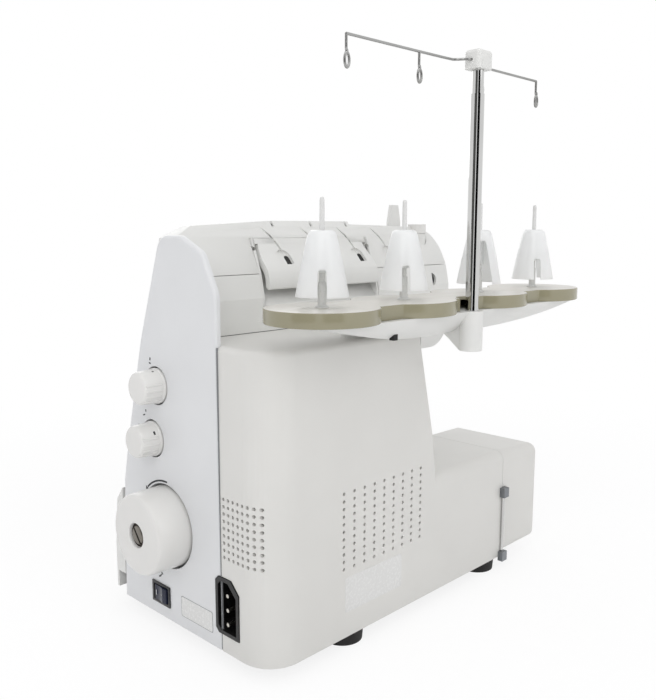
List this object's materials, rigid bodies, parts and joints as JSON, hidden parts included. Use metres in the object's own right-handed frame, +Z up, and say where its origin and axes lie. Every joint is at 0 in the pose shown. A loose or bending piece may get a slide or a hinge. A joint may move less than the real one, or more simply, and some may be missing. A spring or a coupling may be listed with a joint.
{
  "type": "serger overlock machine",
  "caption": "Domestic overlock sewing machine with telescopic thread stand, handwheel, folding carry handle, tension dials, loopers and swinging cloth plate cover.",
  "frame": {"origin": "centre of the overall box in plan, at the floor under the feet", "axes": "+X towards the handwheel end, +Y towards the back with the thread stand, +Z up"},
  "size_m": [0.346, 0.2312, 0.402],
  "materials": {
    "casing_white": "satin",
    "tray_grey": "matt",
    "dial_white": "satin",
    "foot_black": "matt",
    "chrome": "polished",
    "tube_steel": "polished",
    "bright_steel": "polished",
    "switch_black": "gloss",
    "rocker_navy": "gloss",
    "inlet_black": "matt",
    "pin_brass": "polished",
    "cone_clear": "satin",
    "pin_white": "satin",
    "frame_cast": "as cast",
    "motor_painted": "satin",
    "belt_rubber": "matt",
    "base_painted": "satin",
    "lamp_lens": "clear"
  },
  "bodies": {
    "chassis": {"end_cover": "casing_white", "rear_cover": "casing_white", "upper_cover": "casing_white", "top_cover": "casing_white", "tension_panel": "casing_white", "front_panel": "casing_white", "hinge_brackets": "tube_steel", "base_plate": "base_painted", "rubber_feet": "foot_black", "shaft_bearings": "bright_steel", "motor": "motor_painted", "timing_belt": "belt_rubber", "dial_bracket": "frame_cast", "switch_frame": "switch_black", "power_inlet": "inlet_black", "inlet_pins": "pin_brass", "spool_tray": "tray_grey", "stand_carrier": "casing_white", "spool_pins": "pin_white", "spool_cones": "cone_clear", "pole_outer": "tube_steel", "handle_well": "casing_white", "thread_guide": "dial_white", "tension_spindle": "bright_steel", "main_frame": "frame_cast", "cloth_plate": "bright_steel", "needle_plate": "bright_steel", "fixed_knife": "bright_steel", "lamp": "lamp_lens"},
    "drive_shaft": {"handwheel": "dial_white", "handwheel_screw": "bright_steel", "main_shaft": "bright_steel", "drive_pulley": "frame_cast"},
    "motor_shaft": {"motor_pulley": "bright_steel"},
    "stitch_dial": {"stitch_length_dial": "dial_white"},
    "differential": {"differential_dial": "dial_white"},
    "rocker": {"power_rocker": "rocker_navy"},
    "pole_slider": {"pole_inner": "chrome"},
    "guide_swivel_head": {"pole_cap": "casing_white", "thread_guide_wire": "chrome"},
    "handle": {"carry_handle": "casing_white"},
    "pressure": {"pressure_knob": "dial_white"},
    "tension_1": {"tension_dial_1": "dial_white"},
    "tension_2": {"tension_dial_2": "dial_white"},
    "tension_3": {"tension_dial_3": "dial_white"},
    "tension_4": {"tension_dial_4": "dial_white"},
    "cloth_cover": {"cloth_plate_cover": "casing_white", "hinge_rod": "chrome"},
    "looper_slider": {"looper_cover_pin": "bright_steel"},
    "looper_door": {"looper_cover": "casing_white"},
    "needle_slider": {"needle_bar": "bright_steel", "needle_clamp": "bright_steel", "needles": "bright_steel"},
    "presser": {"presser_bar": "bright_steel", "presser_foot": "bright_steel"},
    "lifter": {"lifter_lever": "bright_steel"},
    "lower_looper_arm": {"lower_looper": "bright_steel"},
    "upper_looper_arm": {"upper_looper": "bright_steel"},
    "knife_arm": {"moving_knife": "bright_steel"},
    "feed": {"feed_dogs": "bright_steel"}
  },
  "joints": [
    {"name": "handwheel_spin", "type": "hinge", "parent": "chassis", "child": "drive_shaft", "pos_m": [0.148, -0.0453, 0.082], "axis": [1, 0, 0], "continuous": true},
    {"name": "motor_spin", "type": "hinge", "parent": "chassis", "child": "motor_shaft", "pos_m": [0.099, 0.0174, 0.057], "axis": [1, 0, 0], "continuous": true},
    {"name": "stitch_length_turn", "type": "hinge", "parent": "chassis", "child": "stitch_dial", "pos_m": [0.148, -0.0526, 0.1815], "axis": [1, 0, 0], "range_deg": [-135, 135]},
    {"name": "differential_turn", "type": "hinge", "parent": "chassis", "child": "differential", "pos_m": [0.148, -0.0589, 0.143], "axis": [1, 0, 0], "range_deg": [-135, 135]},
    {"name": "rocker_tip", "type": "hinge", "parent": "chassis", "child": "rocker", "pos_m": [0.1455, -0.0539, 0.029], "axis": [0, 0, 1], "range_deg": [0, 14]},
    {"name": "pole_slide", "type": "slide", "parent": "chassis", "child": "pole_slider", "axis": [0, 0, 1], "range_m": [-0.013, 0.11]},
    {"name": "guide_swivel", "type": "hinge", "parent": "pole_slider", "child": "guide_swivel_head", "pos_m": [0.0003, 0.1047, 0.392], "axis": [0, 0, 1], "range_deg": [-90, 90]},
    {"name": "handle_fold", "type": "hinge", "parent": "chassis", "child": "handle", "pos_m": [0.017, -0.0301, 0.274], "axis": [1, 0, 0], "range_deg": [0, 110]},
    {"name": "pressure_turn", "type": "hinge", "parent": "chassis", "child": "pressure", "pos_m": [-0.12, -0.0376, 0.287], "axis": [0, 0, 1], "range_deg": [-180, 180]},
    {"name": "tension_1_turn", "type": "hinge", "parent": "chassis", "child": "tension_1", "pos_m": [0.051, -0.05162, 0.2455], "axis": [1, 0, 0], "range_deg": [-150, 150]},
    {"name": "tension_2_turn", "type": "hinge", "parent": "chassis", "child": "tension_2", "pos_m": [0.011, -0.05162, 0.2455], "axis": [1, 0, 0], "range_deg": [-150, 150]},
    {"name": "tension_3_turn", "type": "hinge", "parent": "chassis", "child": "tension_3", "pos_m": [-0.029, -0.05162, 0.2455], "axis": [1, 0, 0], "range_deg": [-150, 150]},
    {"name": "tension_4_turn", "type": "hinge", "parent": "chassis", "child": "tension_4", "pos_m": [-0.069, -0.05162, 0.2455], "axis": [1, 0, 0], "range_deg": [-150, 150]},
    {"name": "cloth_cover_swing", "type": "hinge", "parent": "chassis", "child": "cloth_cover", "pos_m": [-0.1145, 0.0637, 0.045], "axis": [0, 0, -1], "range_deg": [0, 100]},
    {"name": "looper_cover_slide", "type": "slide", "parent": "chassis", "child": "looper_slider", "axis": [1, 0, 0], "range_m": [0, 0.0035]},
    {"name": "looper_cover_tilt", "type": "hinge", "parent": "looper_slider", "child": "looper_door", "pos_m": [0.017, -0.1086, 0.021], "axis": [1, 0, 0], "range_deg": [0, 75]},
    {"name": "needle_bar_slide", "type": "slide", "parent": "chassis", "child": "needle_slider", "axis": [0, 0, -1], "range_m": [0, 0.024]},
    {"name": "presser_lift", "type": "slide", "parent": "chassis", "child": "presser", "axis": [0, 0, 1], "range_m": [0, 0.005]},
    {"name": "lifter_turn", "type": "hinge", "parent": "chassis", "child": "lifter", "pos_m": [-0.1, -0.0276, 0.196], "axis": [1, 0, 0], "range_deg": [0, 25]},
    {"name": "lower_looper_swing", "type": "hinge", "parent": "chassis", "child": "lower_looper_arm", "pos_m": [-0.05, -0.0536, 0.036], "axis": [0, -1, 0], "range_deg": [0, 12]},
    {"name": "upper_looper_swing", "type": "hinge", "parent": "chassis", "child": "upper_looper_arm", "pos_m": [-0.038, -0.0606, 0.054], "axis": [0, -1, 0], "range_deg": [0, 12]},
    {"name": "knife_swing", "type": "hinge", "parent": "chassis", "child": "knife_arm", "pos_m": [-0.066, -0.0786, 0.06], "axis": [-1, 0, 0], "range_deg": [0, 3]},
    {"name": "feed_slide", "type": "slide", "parent": "chassis", "child": "feed", "axis": [0, 1, 0], "range_m": [-0.0025, 0.0025]}
  ],
  "couplings": [
    {"joint": "motor_spin", "follows": "handwheel_spin", "ratio": 3.5429},
    {"joint": "lifter_turn", "follows": "presser_lift", "rad_per_m": 87.27}
  ]
}
